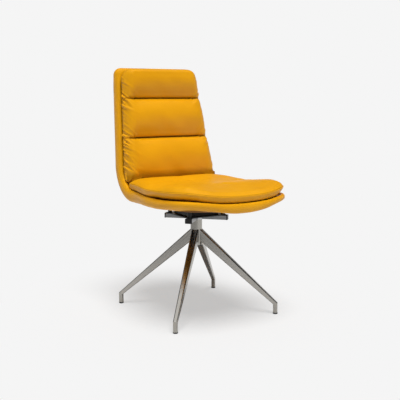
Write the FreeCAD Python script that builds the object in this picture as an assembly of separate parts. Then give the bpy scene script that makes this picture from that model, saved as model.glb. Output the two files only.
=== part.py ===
import FreeCAD, Part
import math
import os

# Swivel dining chair: an upholstered shell on a four-armed carrier that turns on a four-legged steel base.
# Millimetres. +Z is up, the sitter faces -Y, +X is the sitter's left. Shapes are drawn about the swivel axis.
# Each is then moved forward by axis_forward, so the origin is at the bottom centre of the whole chair.

V = FreeCAD.Vector
UP = V(0, 0, 1)

# Place of the swivel axis, ahead of the middle of the whole chair
axis_forward = 18.0

# Feet and legs
foot_radius = 300.0
glide_diameter = 17.5
glide_height = 4.5
stem_length = 14.0
stem_clearance = 0.15
stub_depth = 15.4
stub_width = 14.6
stub_corner = 3.6
knee_height = 42.0
tube_wall = 1.8
leg_root_width = 28.0
leg_root_drop = 37.5
leg_root_depth = 48.0
leg_root_corner = 7.0
leg_corner = 3.6
leg_lower_knee = 36.0

# Column and swivel bearing
column_diameter = 43.4
column_wall = 2.5
column_overhang = 10.5
bush_length = 24.0
bush_flange = 2.2
spindle_diameter = 25.0
running_clearance = 0.05
thrust_gap = 0.3
lower_bush_rise = 23.0
washer_thickness = 2.0
circlip_thickness = 1.2
circlip_depth = 1.2
circlip_width = 3.6
circlip_gap_angle = 40.0
spindle_tail = 3.0
plug_flange = 1.5
plug_length = 10.0

# Seat carrier
hub_diameter = 58.0
arm_width = 24.0
arm_height = 16.8
arm_wall = 1.8
arm_corner = 2.0
arm_reach = 116.0
cap_flange = 3.2
cap_lip = 0.7
cap_stem = 7.0
cap_clearance = 0.15
plate_thickness = 3.0
plate_half = 83.0
plate_corner = 6.0
pan_half_bottom = 62.0
pan_half_top = 52.0
pan_rise = 40.7
bolt_radius = 101.0
bolt_diameter = 6.0
bolt_clearance = 0.3
head_diameter = 10.0
head_height = 3.3
washer_diameter = 12.0
bolt_washer_thickness = 1.2
key_hole_diameter = 13.0
spacer_diameter = 16.0

# Upholstered shell: the inner face is where the cushions lie
seat_face_height = 448.0
back_corner = 208.0
recline = 12.5
bend_radius = 110.0
total_height = 908.5
front_reach = 322.0
widest_place = -60.0
seat_half_width = 239.0
bend_half_width = 212.0
top_half_width = 171.0
corner_power = 3.6
top_corner = 30.0
seat_rim = 31.0
seat_middle = 42.0
lip_thickness = 20.0
lip_middle = 34.0
lip_length = 120.0
lip_round = 14.0
lip_stations = (0.03, 0.3, 1.0, 3.0, 6.0)
level_steps = 4
bend_steps = 4
back_stations = (0.2, 0.45, 0.7, 0.92)
top_stations = (0.0, 0.55, 0.85, 0.98)
back_rim = 50.0
back_middle = 55.0
rim_bulge = 13.0
rim_bulge_share = 0.42
flank_bulge = 2.5
end_thickness = 0.3
trim = 2.0

# Moulded plywood core and its tee nuts
core_thickness = 12.0
core_half_width = 138.0
core_front = 262.0
core_top_margin = 45.0
core_corner = 40.0
match_tolerance = 0.01
tee_flange_diameter = 19.0
tee_flange_thickness = 1.5
tee_barrel_diameter = 8.4
tee_barrel_length = 9.0

# Cushions
soft_gap = 0.3
pad_inset = 6.0
pad_side = 27.0
pad_crown = 11.0
pad_side_bulge = 5.0
pad_rear_crown = 4.0
pad_roll = 6.0
pad_roll_place = -160.0
pad_roll_length = 110.0
pad_front_inset = 5.0
pad_front_taper = 55.0
pad_rear = 178.0
pad_front_stations = (0.02, 0.14, 0.45, 1.0)
puff_stations = (0.0, 0.12, 0.5, 0.88, 1.0)
cushion_inset = 13.0
cushion_front_inset = 35.0
cushion_base_inset = 4.0
cushion_top_margin = 15.0
cushion_depth = 54.0
cushion_rest = 1.2
cushion_crown = 11.0
cushion_channel = 45.0
cushion_end = 30.0
cushion_top_corner = 28.0
upper_seam_height = 784.0
lower_seam_height = 635.0

# Derived places
column_radius = column_diameter / 2
bore_radius = column_radius - column_wall
spindle_radius = spindle_diameter / 2
bush_bore = spindle_radius + running_clearance
stub_outer = foot_radius + stub_depth / 2
stub_inner = foot_radius - stub_depth / 2
shell_bottom = seat_face_height - seat_middle
plate_top = shell_bottom - pan_rise
hub_top = plate_top - plate_thickness
hub_bottom = hub_top - arm_height
column_top = hub_bottom - thrust_gap - bush_flange
leg_root_top = column_top - leg_root_drop
leg_root_bottom = leg_root_top - leg_root_depth
column_bottom = leg_root_bottom - column_overhang
lower_bush_height = column_bottom + lower_bush_rise
hub_radius = hub_diameter / 2
bolt_seat = hub_top - arm_wall
washer_top = lower_bush_height - thrust_gap
circlip_top = washer_top - washer_thickness
spindle_bottom = circlip_top - circlip_thickness - spindle_tail
bend_angle = 90.0 - recline
bend_tangent = bend_radius * math.tan(math.radians(bend_angle / 2))
bend_start = back_corner - bend_tangent
lean = math.radians(recline)
back_along = V(0, math.sin(lean), math.cos(lean))
back_front = V(0, -math.cos(lean), math.sin(lean))
bend_end = V(0, back_corner, seat_face_height) + back_along * bend_tangent
leg_angles = {"rear_left": 45, "rear_right": 135, "front_right": 225, "front_left": 315}


def save(shape, name):
    """Move one sub-part into the chair's frame and write it under its node name."""
    placed = shape.copy()
    placed.translate(V(0, -axis_forward, 0))
    placed.exportStep("parts/" + name + ".step")


def turned(shape, angle):
    """Copy a shape made along +X to another direction about the swivel axis."""
    copy = shape.copy()
    copy.rotate(V(0, 0, 0), UP, angle)
    return copy


def cylinder(radius, bottom, top, x=0.0, y=0.0):
    """Upright cylinder between two heights."""
    return Part.makeCylinder(radius, top - bottom, V(x, y, bottom))


def ring(outer, inner, bottom, top, x=0.0, y=0.0):
    """Upright cylinder with a concentric bore."""
    return cylinder(outer, bottom, top, x, y).cut(cylinder(inner, bottom, top, x, y))


def rounded_wire(half_a, half_b, corner, place):
    """Closed rounded rectangle, with place(a, b) giving each point in space."""
    cut = corner * (1 - math.sqrt(0.5))
    flat_a = half_a - corner
    flat_b = half_b - corner
    corners = [(1, 1), (-1, 1), (-1, -1), (1, -1)]
    edges = []
    for index, (sign_a, sign_b) in enumerate(corners):
        upright = (sign_a * half_a, sign_b * flat_b)
        middle = (sign_a * (half_a - cut), sign_b * (half_b - cut))
        level = (sign_a * flat_a, sign_b * half_b)
        start, end = (upright, level) if index % 2 == 0 else (level, upright)
        edges.append(Part.Arc(place(*start), place(*middle), place(*end)).toShape())
        next_a, next_b = corners[(index + 1) % 4]
        after = (next_a * flat_a, next_b * half_b) if index % 2 == 0 else (next_a * half_a, next_b * flat_b)
        edges.append(Part.makeLine(place(*end), place(*after)))
    return Part.Wire(edges)


def rounded_bar(half_a, half_b, corner, place, run):
    """Rounded rectangle drawn by place and pushed along run."""
    return Part.Face(rounded_wire(half_a, half_b, corner, place)).extrude(run)


# Base

def leg_section(radius, shrink):
    """Upright rounded section of a leg at a distance from the axis."""
    top_slope = (leg_root_top - knee_height) / (stub_outer - column_radius)
    bottom_slope = (leg_root_bottom - leg_lower_knee) / (stub_inner - column_radius)
    share = (radius - column_radius) / (foot_radius - column_radius)
    top = leg_root_top - top_slope * (radius - column_radius) - shrink / math.cos(math.atan(top_slope))
    bottom = leg_root_bottom - bottom_slope * (radius - column_radius)
    bottom += shrink / math.cos(math.atan(bottom_slope))
    half_width = (leg_root_width + (stub_width - leg_root_width) * share) / 2 - shrink
    corner = leg_root_corner + (leg_corner - leg_root_corner) * share - shrink
    middle = (top + bottom) / 2
    return rounded_wire(half_width, (top - bottom) / 2, corner, lambda a, b: V(radius, a, middle + b))


def leg_taper(shrink, inner_end, outer_end):
    """Straight taper between two upright sections of a leg."""
    return Part.makeLoft([leg_section(inner_end, shrink), leg_section(outer_end, shrink)], True, True)


def mitre_side(above):
    """Space above or below the mitre plane of the knee."""
    slope = (knee_height - leg_lower_knee) / stub_depth
    reach = 2 * stub_depth
    inner = V(stub_inner - reach, 0, leg_lower_knee - slope * reach)
    outer = V(stub_outer + reach, 0, knee_height + slope * reach)
    far = V(0, 0, 6 * knee_height if above else -6 * knee_height)
    outline = Part.makePolygon([inner, outer, outer + far, inner + far, inner])
    slab = Part.Face(outline).extrude(V(0, 2 * leg_root_width, 0))
    slab.translate(V(0, -leg_root_width, 0))
    return slab


def leg():
    """Tapered tube from the column to the mitred knee, along +X."""
    beyond = stub_outer + stub_depth
    tube = leg_taper(0, 0, beyond).cut(leg_taper(tube_wall, -tube_wall, beyond + tube_wall))
    tube = tube.cut(cylinder(column_radius, 0, total_height))
    return tube.cut(mitre_side(False))


def stub():
    """Short upright tube below the knee."""
    def place(shrink):
        return rounded_bar(
            stub_depth / 2 - shrink, stub_width / 2 - shrink, stub_corner - shrink,
            lambda a, b: V(foot_radius + a, b, glide_height), V(0, 0, 2 * knee_height),
        )
    return place(0).cut(place(tube_wall)).cut(mitre_side(True))


def glide():
    """Plastic foot with a stem inside the stub."""
    shrink = tube_wall + stem_clearance
    stem = rounded_bar(
        stub_depth / 2 - shrink, stub_width / 2 - shrink, stub_corner - shrink,
        lambda a, b: V(foot_radius + a, b, glide_height), V(0, 0, stem_length),
    )
    foot = cylinder(glide_diameter / 2, 0, glide_height, foot_radius)
    lower_edge = [edge for edge in foot.Edges if edge.BoundBox.ZMax < glide_height / 2]
    return foot.makeChamfer(glide_height / 5, lower_edge).fuse(stem).removeSplitter()


def column():
    """Upright tube that the legs are welded to."""
    return ring(column_radius, bore_radius, column_bottom, column_top)


def column_plug():
    """Plastic plug that closes the foot of the column."""
    flange = cylinder(column_radius, column_bottom - plug_flange, column_bottom)
    stem = ring(bore_radius, bore_radius - column_wall, column_bottom, column_bottom + plug_length)
    return flange.fuse(stem).removeSplitter()


def upper_bush():
    """Flanged plain bearing in the mouth of the column."""
    sleeve = ring(bore_radius, bush_bore, column_top - bush_length, column_top)
    flange = ring(column_radius, bush_bore, column_top, column_top + bush_flange)
    return sleeve.fuse(flange).removeSplitter()


def lower_bush():
    """Plain bearing low in the column."""
    return ring(bore_radius, bush_bore, lower_bush_height, lower_bush_height + bush_length)


# Swivel and carrier

def spindle():
    """Turned shaft pressed into the hub, grooved for the circlip."""
    shaft = cylinder(spindle_radius, spindle_bottom, hub_top)
    groove = ring(spindle_diameter, spindle_radius - circlip_depth, circlip_top - circlip_thickness, circlip_top)
    lower_edge = [edge for edge in shaft.Edges if edge.BoundBox.ZMax < spindle_bottom + circlip_depth / 2]
    return shaft.makeChamfer(circlip_depth, lower_edge).cut(groove)


def retaining_washer():
    """Loose washer between the lower bush and the circlip."""
    return ring(bore_radius - circlip_width, bush_bore, circlip_top, washer_top)


def circlip():
    """Open spring ring in the spindle's groove."""
    inner = spindle_radius - circlip_depth
    clip = ring(inner + circlip_width, inner, circlip_top - circlip_thickness, circlip_top)
    reach = 2 * spindle_diameter
    half = math.radians(circlip_gap_angle / 2)
    low = V(0, 0, circlip_top - circlip_thickness)
    left = V(reach * math.cos(half), reach * math.sin(half), low.z)
    right = V(left.x, -left.y, low.z)
    wedge = Part.Face(Part.makePolygon([low, right, left, low])).extrude(V(0, 0, circlip_thickness))
    return clip.cut(wedge)


def hub():
    """Boss that carries the arms and grips the spindle."""
    return ring(hub_radius, spindle_radius, hub_bottom, hub_top)


def arm():
    """Rectangular tube from the hub outwards, drilled for its bolt, along +X."""
    middle = (hub_bottom + hub_top) / 2

    def bar(shrink):
        return rounded_bar(
            arm_width / 2 - shrink, arm_height / 2 - shrink, arm_corner - shrink,
            lambda a, b: V(0, a, middle + b), V(arm_reach, 0, 0),
        )
    tube = bar(0).cut(bar(arm_wall)).cut(cylinder(hub_radius, 0, total_height))
    key_hole = cylinder(key_hole_diameter / 2, hub_bottom, middle, bolt_radius)
    return tube.cut(bolt_hole()).cut(key_hole)


def arm_cap():
    """Flanged plastic plug in the open end of an arm."""
    middle = (hub_bottom + hub_top) / 2
    shrink = arm_wall + cap_clearance
    flange = rounded_bar(
        arm_width / 2 + cap_lip, arm_height / 2 + cap_lip, arm_corner + cap_lip,
        lambda a, b: V(arm_reach, a, middle + b), V(cap_flange, 0, 0),
    )
    stem = Part.makeBox(
        cap_stem, arm_width - 2 * shrink, arm_height - 2 * shrink,
        V(arm_reach - cap_stem, shrink - arm_width / 2, hub_bottom + shrink),
    )
    return flange.fuse(stem).removeSplitter()


def bolt_hole():
    """Clearance hole for one mounting bolt, along +X."""
    return cylinder(bolt_diameter / 2 + bolt_clearance, 0, seat_face_height, bolt_radius)


def four_times(shape):
    """Four copies, one on each diagonal."""
    return [turned(shape, angle) for angle in leg_angles.values()]


def square_at(half, corner, height):
    """Closed rounded square lying level."""
    return rounded_wire(half, half, corner, lambda a, b: V(a, b, height))


def seat_plate():
    """Pressed plate on the arms, with a raised pan against the shell."""
    flange = Part.Face(square_at(plate_half, plate_corner, hub_top)).extrude(V(0, 0, plate_thickness))
    pan_top = shell_bottom
    outer = Part.makeLoft([
        square_at(pan_half_bottom, plate_corner, hub_top), square_at(pan_half_top, plate_corner, pan_top),
    ], True, True)
    inner = Part.makeLoft([
        square_at(pan_half_bottom - plate_thickness, plate_corner - plate_thickness, hub_top - trim),
        square_at(pan_half_top - plate_thickness, plate_corner - plate_thickness, pan_top - plate_thickness),
    ], True, True)
    plate = flange.fuse(outer).cut(inner).removeSplitter()
    for hole in four_times(bolt_hole()):
        plate = plate.cut(hole)
    return plate


def plate_spacers():
    """Plastic collars between the plate's corners and the shell."""
    collar = ring(spacer_diameter / 2, bolt_diameter / 2 + bolt_clearance, plate_top, shell_bottom, bolt_radius)
    return Part.makeCompound(four_times(collar))


def bolt_washers():
    """Washers inside the arms, between the bolt heads and the upper wall."""
    low = bolt_seat - bolt_washer_thickness
    washer = ring(washer_diameter / 2, bolt_diameter / 2 + bolt_clearance, low, bolt_seat, bolt_radius)
    return Part.makeCompound(four_times(washer))


def mounting_bolts():
    """Bolts from inside the arms up into the tee nuts."""
    seat = bolt_seat - bolt_washer_thickness
    shank = cylinder(bolt_diameter / 2, seat, seat_face_height - tee_flange_thickness, bolt_radius)
    head = cylinder(head_diameter / 2, seat - head_height, seat, bolt_radius)
    lower_edge = [edge for edge in head.Edges if edge.BoundBox.ZMax < seat - head_height / 2]
    head = head.makeChamfer(head_height / 3, lower_edge)
    bolt = head.fuse(shank).cut(key_recess(seat)).removeSplitter()
    return Part.makeCompound(four_times(bolt))


def key_recess(seat):
    """Hexagonal key recess in a bolt head."""
    points = []
    for index in range(7):
        angle = math.radians(60 * index)
        radius = bolt_diameter / 3
        points.append(V(bolt_radius + radius * math.cos(angle), radius * math.sin(angle), seat - head_height))
    return Part.Face(Part.makePolygon(points)).extrude(V(0, 0, head_height / 2))


def tee_nut():
    """One flanged nut let into the top of the core, along +X."""
    flange_low = seat_face_height - tee_flange_thickness
    flange = cylinder(tee_flange_diameter / 2, flange_low, seat_face_height, bolt_radius)
    barrel = cylinder(tee_barrel_diameter / 2, flange_low - tee_barrel_length, flange_low, bolt_radius)
    return flange.fuse(barrel).removeSplitter()


def tee_nuts():
    """Four nuts, bored for the bolts."""
    bore = cylinder(bolt_diameter / 2, 0, seat_face_height - tee_flange_thickness, bolt_radius)
    return Part.makeCompound(four_times(tee_nut().cut(bore)))


# Shell

def seat_place(y):
    """Place on the level part of the inner face."""
    return lambda x, n: V(x, y, seat_face_height + n)


def bend_place(angle):
    """Place on the curved part of the inner face, by the angle turned from level."""
    turn = math.radians(angle)
    y = bend_start + bend_radius * math.sin(turn)
    z = seat_face_height + bend_radius * (1 - math.cos(turn))
    return lambda x, n: V(x, y - n * math.sin(turn), z + n * math.cos(turn))


def back_place(along):
    """Place on the leaning part of the inner face, by the distance above the bend."""
    origin = bend_end + back_along * along
    return lambda x, n: V(x, 0, 0) + origin + back_front * n


def along_at(height):
    """Distance above the bend at which the leaning inner face has a height."""
    return (height - bend_end.z) / back_along.z


def level_places(front):
    """Even places on the level part, between a front place and the bend."""
    return [front + (bend_start - front) * step / level_steps for step in range(1, level_steps)]


def seat_half(y):
    """Half width of the shell at a place on the level part."""
    if y < widest_place:
        share = min(1.0, (widest_place - y) / (widest_place + front_reach))
        return seat_half_width * (1 - share ** corner_power) ** (1 / corner_power)
    share = (y - widest_place) / (bend_start - widest_place)
    return seat_half_width - (seat_half_width - bend_half_width) * share ** 2 * (3 - 2 * share)


def back_half(height):
    """Half width of the shell above the level part, before its top corners."""
    share = (height - seat_face_height) / (total_height - seat_face_height)
    return bend_half_width + (top_half_width - bend_half_width) * share


def rim_section(place, half, top, edge, middle):
    """Section across the shell: level inner face, round rims and a flat middle below."""
    flat = half / 2
    inner = half - min(rim_bulge, rim_bulge_share * (top - edge))
    centre = (top + edge) / 2
    flank = V((inner + flat) / 2, (edge + middle) / 2 - flank_bulge, 0)
    return Part.Wire([
        Part.makeLine(place(-inner, top), place(inner, top)),
        Part.Arc(place(inner, top), place(half, centre), place(inner, edge)).toShape(),
        Part.Arc(place(inner, edge), place(flank.x, flank.y), place(flat, middle)).toShape(),
        Part.makeLine(place(flat, middle), place(-flat, middle)),
        Part.Arc(place(-flat, middle), place(-flank.x, flank.y), place(-inner, edge)).toShape(),
        Part.Arc(place(-inner, edge), place(-half, centre), place(-inner, top)).toShape(),
    ])


def seat_sections():
    """Sections of the level part, from the front lip to the bend."""
    sections = []
    for share in lip_stations:
        depth = lip_round * share
        swell = math.sqrt(1 - (1 - min(1.0, share)) ** 2)
        grown = min(1.0, depth / lip_length)
        thickness = lip_thickness + (seat_rim - lip_thickness) * grown
        top = trim * swell - thickness / 2 * (1 - swell)
        edge = -thickness / 2 * (1 + swell)
        belly = (lip_middle + (seat_middle - lip_middle) * grown - thickness) * (0.3 + 0.7 * swell)
        place = seat_place(depth - front_reach)
        sections.append(rim_section(place, seat_half(depth - front_reach), top, edge, edge - belly))
    for y in level_places(depth - front_reach):
        sections.append(rim_section(seat_place(y), seat_half(y), trim, -seat_rim, -seat_middle))
    return sections


def bend_sections():
    """Sections round the bend, thickening from the seat's rim to the back's."""
    sections = []
    for step in range(bend_steps + 1):
        share = step / bend_steps
        place = bend_place(bend_angle * share)
        edge = seat_rim + (back_rim - seat_rim) * share
        middle = seat_middle + (back_middle - seat_middle) * share
        half = back_half(place(0, 0).z)
        sections.append(rim_section(place, half, trim, -edge, -middle))
    return sections


def back_sections():
    """Sections of the back, closing in round the top."""
    sections = []
    top_along = along_at(total_height)
    for share in back_stations:
        along = (top_along - top_corner) * share
        place = back_place(along)
        sections.append(rim_section(place, back_half(place(0, 0).z), trim, -back_rim, -back_middle))
    for share in top_stations:
        place = back_place(top_along - top_corner * (1 - share))
        round_off = math.sqrt(1 - share ** 2)
        swell = end_thickness + (1 - end_thickness) * round_off
        centre = -back_rim / 2
        half = back_half(place(0, 0).z) - top_corner * (1 - round_off)
        low = centre - (back_middle + centre) * swell
        sections.append(rim_section(place, half, centre + (trim - centre) * swell, centre * (1 + swell), low))
    return sections


def inner_profile(depth, front, top_along):
    """Closed side outline between the inner face and the same line at a depth (below 0) or height."""
    half_turn = bend_angle / 2
    seat_line = seat_place(-front)
    face = [seat_line(0, 0), bend_place(0)(0, 0), bend_place(half_turn)(0, 0)]
    face += [bend_place(bend_angle)(0, 0), back_place(top_along)(0, 0)]
    other = [seat_line(0, depth), bend_place(0)(0, depth), bend_place(half_turn)(0, depth)]
    other += [bend_place(bend_angle)(0, depth), back_place(top_along)(0, depth)]
    edges = [
        Part.makeLine(face[0], face[1]), Part.Arc(face[1], face[2], face[3]).toShape(),
        Part.makeLine(face[3], face[4]), Part.makeLine(face[4], other[4]),
        Part.makeLine(other[4], other[3]), Part.Arc(other[3], other[2], other[1]).toShape(),
        Part.makeLine(other[1], other[0]), Part.makeLine(other[0], face[0]),
    ]
    return Part.Face(Part.Wire(edges))


def inner_slab(depth, half, front, top_along):
    """The side outline pushed across the chair."""
    slab = inner_profile(depth, front, top_along).extrude(V(2 * half, 0, 0))
    slab.translate(V(-half, 0, 0))
    return slab


def core_blank():
    """Bent plywood sheet with rounded corners, before drilling."""
    top_along = along_at(total_height) - core_top_margin
    blank = inner_slab(-core_thickness, core_half_width, core_front, top_along)
    edges = []
    for edge in blank.Edges:
        middle = edge.CenterOfMass
        at_side = abs(abs(middle.x) - core_half_width) < match_tolerance
        short = abs(edge.Length - core_thickness) < match_tolerance
        if at_side and short:
            edges.append(edge)
    return blank.makeFillet(core_corner, edges)


def shell_core(blank):
    """Plywood core with its tee nut seats."""
    core = blank
    for nut in four_times(tee_nut().fuse(bolt_hole())):
        core = core.cut(nut)
    return core


def shell_upholstery(blank):
    """Padded outer shell, trimmed to the inner face and pocketed for the core."""
    shell = Part.makeLoft(seat_sections() + bend_sections() + back_sections(), True, False)
    over = 4 * trim
    shell = shell.cut(inner_slab(over, seat_half_width + over, front_reach + over, along_at(total_height) + over))
    below = Part.makeBox(
        2 * seat_half_width + over, 2 * (front_reach + over), shell_bottom,
        V(-seat_half_width - over / 2, -front_reach - over, 0),
    )
    shell = shell.cut(below).cut(blank)
    for hole in four_times(bolt_hole()):
        shell = shell.cut(hole)
    return shell


# Cushions

def pillow_section(place, half, base_inset, face_inset, side, crown):
    """Section across a cushion: flat where it rests, bowed sides and a crowned face."""
    base = half - base_inset
    face = half - face_inset
    bow = soft_gap + (side - soft_gap) * 0.32
    return Part.Wire([
        Part.makeLine(place(-base, soft_gap), place(base, soft_gap)),
        Part.Arc(place(base, soft_gap), place(half, bow), place(face, side)).toShape(),
        Part.Arc(place(face, side), place(0, side + crown), place(-face, side)).toShape(),
        Part.Arc(place(-face, side), place(-half, bow), place(-base, soft_gap)).toShape(),
    ])


def behind_inner_face():
    """Everything from just above the inner face outwards, to trim the cushions."""
    deep = -4 * back_middle
    slab = inner_slab(deep, seat_half_width, 2 * front_reach, along_at(2 * total_height))
    slab.translate(V(0, -soft_gap * math.cos(lean) / 2, soft_gap))
    return slab


def pad_section(y, half, swell, crown):
    """Section of the seat pad, with the roll behind its front edge."""
    reach = (y - pad_roll_place) / pad_roll_length
    roll = pad_roll * math.exp(-reach * reach)
    side = soft_gap + (pad_side + roll / 2 - soft_gap) * swell
    bulge = pad_side_bulge * swell
    return pillow_section(seat_place(y), half, bulge, bulge, side, (crown + roll / 2) * swell)


def seat_cushion():
    """Crowned seat pad, boxed at its sides, drawn down to a thin front edge."""
    front = front_reach - pad_front_inset
    sections = []
    for share in pad_front_stations:
        y = pad_front_taper * share - front
        swell = end_thickness + (1 - end_thickness) * math.sqrt(1 - (1 - share) ** 2)
        sections.append(pad_section(y, seat_half(y - pad_front_inset) - pad_inset, swell, pad_crown))
    for y in level_places(y):
        sections.append(pad_section(y, seat_half(y) - pad_inset, 1.0, pad_crown))
    half = bend_half_width - pad_inset
    crown = (pad_crown + pad_rear_crown) / 2
    sections.append(pad_section(bend_start, half - cushion_inset / 2, 1.0, crown))
    sections.append(pad_section((bend_start + pad_rear) / 2, half - cushion_inset, 1.0, pad_rear_crown))
    sections.append(pad_section(pad_rear, half - cushion_inset, 1.0, pad_rear_crown))
    return Part.makeLoft(sections, True, False).cut(behind_inner_face())


def puff(low, high, top_end):
    """One padded bolster of the back cushion between two distances along the back."""
    sections = []
    for share in puff_stations:
        place = back_place(low + (high - low) * share)
        swell = math.sqrt(max(0.0, 1 - (2 * share - 1) ** 4))
        fullness = 0.3 + 0.7 * swell
        closing = top_end and share > 0.5
        valley = cushion_end if closing else cushion_channel
        side = valley + (cushion_depth - valley) * swell
        half = back_half(place(0, 0).z) - cushion_inset
        if closing:
            half -= cushion_top_corner * (1 - swell)
        face_inset = cushion_front_inset * side / cushion_depth
        sections.append(
            pillow_section(place, half, cushion_base_inset, face_inset, side, cushion_crown * fullness)
        )
    return Part.makeLoft(sections, True, False)


def back_cushion():
    """Three sewn bolsters over the back, resting on the rear of the seat pad."""
    seams = [along_at(upper_seam_height), along_at(lower_seam_height)]
    top = along_at(total_height) - cushion_top_margin
    pad_top = seat_face_height + pad_side + pad_rear_crown + cushion_rest
    bottom = along_at(pad_top) - cushion_depth * math.tan(lean)
    cushion = puff(bottom, seams[1], False)
    cushion = cushion.fuse(puff(seams[1], seams[0], False))
    cushion = cushion.fuse(puff(seams[0], top, True))
    below = Part.makeBox(
        2 * seat_half_width, 2 * front_reach, pad_top, V(-seat_half_width, -front_reach, 0),
    )
    return cushion.cut(below).cut(behind_inner_face())


# Build

os.makedirs("parts", exist_ok=True)
for name, angle in leg_angles.items():
    save(turned(leg(), angle), "leg_" + name)
    save(turned(stub(), angle), "leg_stub_" + name)
    save(turned(glide(), angle), "foot_glide_" + name)
    save(turned(arm(), angle), "support_arm_" + name)
    save(turned(arm_cap(), angle), "arm_end_cap_" + name)
save(column(), "column_tube")
save(column_plug(), "column_plug")
save(upper_bush(), "upper_bush")
save(lower_bush(), "lower_bush")
save(spindle(), "spindle")
save(retaining_washer(), "retaining_washer")
save(circlip(), "circlip")
save(hub(), "swivel_hub")
save(seat_plate(), "seat_plate")
save(plate_spacers(), "plate_spacers")
save(bolt_washers(), "bolt_washers")
save(mounting_bolts(), "mounting_bolts")
save(tee_nuts(), "tee_nuts")
plywood = core_blank()
save(shell_core(plywood), "shell_core")
save(shell_upholstery(plywood), "shell_upholstery")
save(seat_cushion(), "seat_cushion")
save(back_cushion(), "back_cushion")
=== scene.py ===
import math
import random

import bmesh
import bpy
import numpy as np
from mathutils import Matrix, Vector


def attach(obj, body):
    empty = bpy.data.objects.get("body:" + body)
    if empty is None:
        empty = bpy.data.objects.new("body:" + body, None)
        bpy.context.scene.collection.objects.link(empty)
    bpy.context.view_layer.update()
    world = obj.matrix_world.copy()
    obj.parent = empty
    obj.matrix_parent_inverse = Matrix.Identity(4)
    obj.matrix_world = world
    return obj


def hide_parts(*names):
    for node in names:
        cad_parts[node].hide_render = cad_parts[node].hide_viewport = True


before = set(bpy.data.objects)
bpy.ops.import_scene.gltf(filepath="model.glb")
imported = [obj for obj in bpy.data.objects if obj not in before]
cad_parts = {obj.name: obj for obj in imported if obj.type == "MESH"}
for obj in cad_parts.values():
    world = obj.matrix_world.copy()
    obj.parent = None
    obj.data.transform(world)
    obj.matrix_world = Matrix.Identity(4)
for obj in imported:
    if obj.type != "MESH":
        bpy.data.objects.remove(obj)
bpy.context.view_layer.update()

# Upholstery sizes in metres, about the swivel axis, the same as the solids have
AXIS_Y = -0.018
SEAT_Z = 0.448
BACK_CORNER = 0.208
LEAN = math.radians(12.5)
BEND_RADIUS = 0.110
TOTAL_HEIGHT = 0.9085
FRONT = 0.322
WIDEST = -0.060
SEAT_HALF = 0.239
BEND_HALF = 0.212
TOP_HALF = 0.171
CORNER_POWER = 3.6
UPPER_SEAM_Z = 0.784
LOWER_SEAM_Z = 0.635

QUARTER_TURN = math.pi / 2
BEND_ANGLE = QUARTER_TURN - LEAN
BEND_TANGENT = BEND_RADIUS * math.tan(BEND_ANGLE / 2)
BEND_START = BACK_CORNER - BEND_TANGENT
ALONG = np.array([0, math.sin(LEAN), math.cos(LEAN)])
PROUD = np.array([0, -math.cos(LEAN), math.sin(LEAN)])
BEND_END = np.array([0, BACK_CORNER, SEAT_Z]) + ALONG * BEND_TANGENT
SEAT_RUN = BEND_START + FRONT
BEND_RUN = BEND_RADIUS * BEND_ANGLE
BACK_RUN = (TOTAL_HEIGHT - BEND_END[2]) / ALONG[2]
FULL_RUN = SEAT_RUN + BEND_RUN + BACK_RUN

# Shares of the way from an outline to its middle line. A skin is closed at the first of them.
INNERMOST = 0.985
UNDERSIDE_SHARES = (INNERMOST, 0.6, 0.3, 0.0)

# Points along the outlines
FRONT_POINTS = 140
SHELL_POINTS = 300
PAD_POINTS = 300
BACK_POINTS = 760

# How dark the painted shade is in creases, seams, grooves and hidden undersides, from 0 to 1
UNDERSIDE_PAINTED_SHADE = 0.85
GROOVE_PAINTED_SHADE = 0.45
HIDDEN_PAINTED_SHADE = 0.9
PAD_SEAM_PAINTED_SHADE = 0.60
BOLSTER_SEAM_PAINTED_SHADE = 0.8
BOLSTER_FOOT_PAINTED_SHADE = 0.60
VALLEY_PAINTED_SHADE = 0.50


def smooth(low, high, value):
    """Smooth step from 0 at low to 1 at high."""
    share = np.clip((value - low) / (high - low), 0.0, 1.0)
    return share * share * (3 - 2 * share)


def hump(value, centre, width):
    """Soft hump of height 1."""
    return np.exp(-((value - centre) / width) ** 2)


def seat_half(y):
    """Half width of the shell on its level part."""
    front = np.clip((WIDEST - y) / (WIDEST + FRONT), 0.0, 1.0)
    ahead = SEAT_HALF * (1 - front ** CORNER_POWER) ** (1 / CORNER_POWER)
    rear = np.clip((y - WIDEST) / (BEND_START - WIDEST), 0.0, 1.0)
    behind = SEAT_HALF - (SEAT_HALF - BEND_HALF) * rear ** 2 * (3 - 2 * rear)
    return np.where(y < WIDEST, ahead, behind)


def back_half(z):
    """Half width of the shell above its level part."""
    return BEND_HALF + (TOP_HALF - BEND_HALF) * (z - SEAT_Z) / (TOTAL_HEIGHT - SEAT_Z)


def sweep(x, y):
    """Soft rise of the seat's front corners and droop of its front middle."""
    corner_rise, middle_droop = 0.0080, 0.0055
    corner = smooth(-0.10, -0.29, y) * smooth(0.07, 0.21, np.abs(x))
    middle = smooth(-0.12, -0.32, y) * (1 - smooth(0.0, 0.17, np.abs(x)))
    return corner_rise * corner - middle_droop * middle


# Places on the upholstery: x across, s along the inner face from the front edge, a up the back
# from the end of the bend, and n proud of the face. smooth() and hump() take such places too.

def on_path(x, s, n):
    """Points at a distance across, along and proud of the shell's inner face."""
    seat = np.stack([x, s - FRONT, SEAT_Z + n + sweep(x, s - FRONT)], -1)
    turn = np.clip((s - SEAT_RUN) / BEND_RADIUS, 0.0, BEND_ANGLE)
    y = BEND_START + (BEND_RADIUS - n) * np.sin(turn)
    bend = np.stack([x, y, SEAT_Z + BEND_RADIUS - (BEND_RADIUS - n) * np.cos(turn)], -1)
    back = on_back(x, s - SEAT_RUN - BEND_RUN, n)
    level = (s < SEAT_RUN)[..., None]
    leaning = (s > SEAT_RUN + BEND_RUN)[..., None]
    return np.where(level, seat, np.where(leaning, back, bend))


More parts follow.
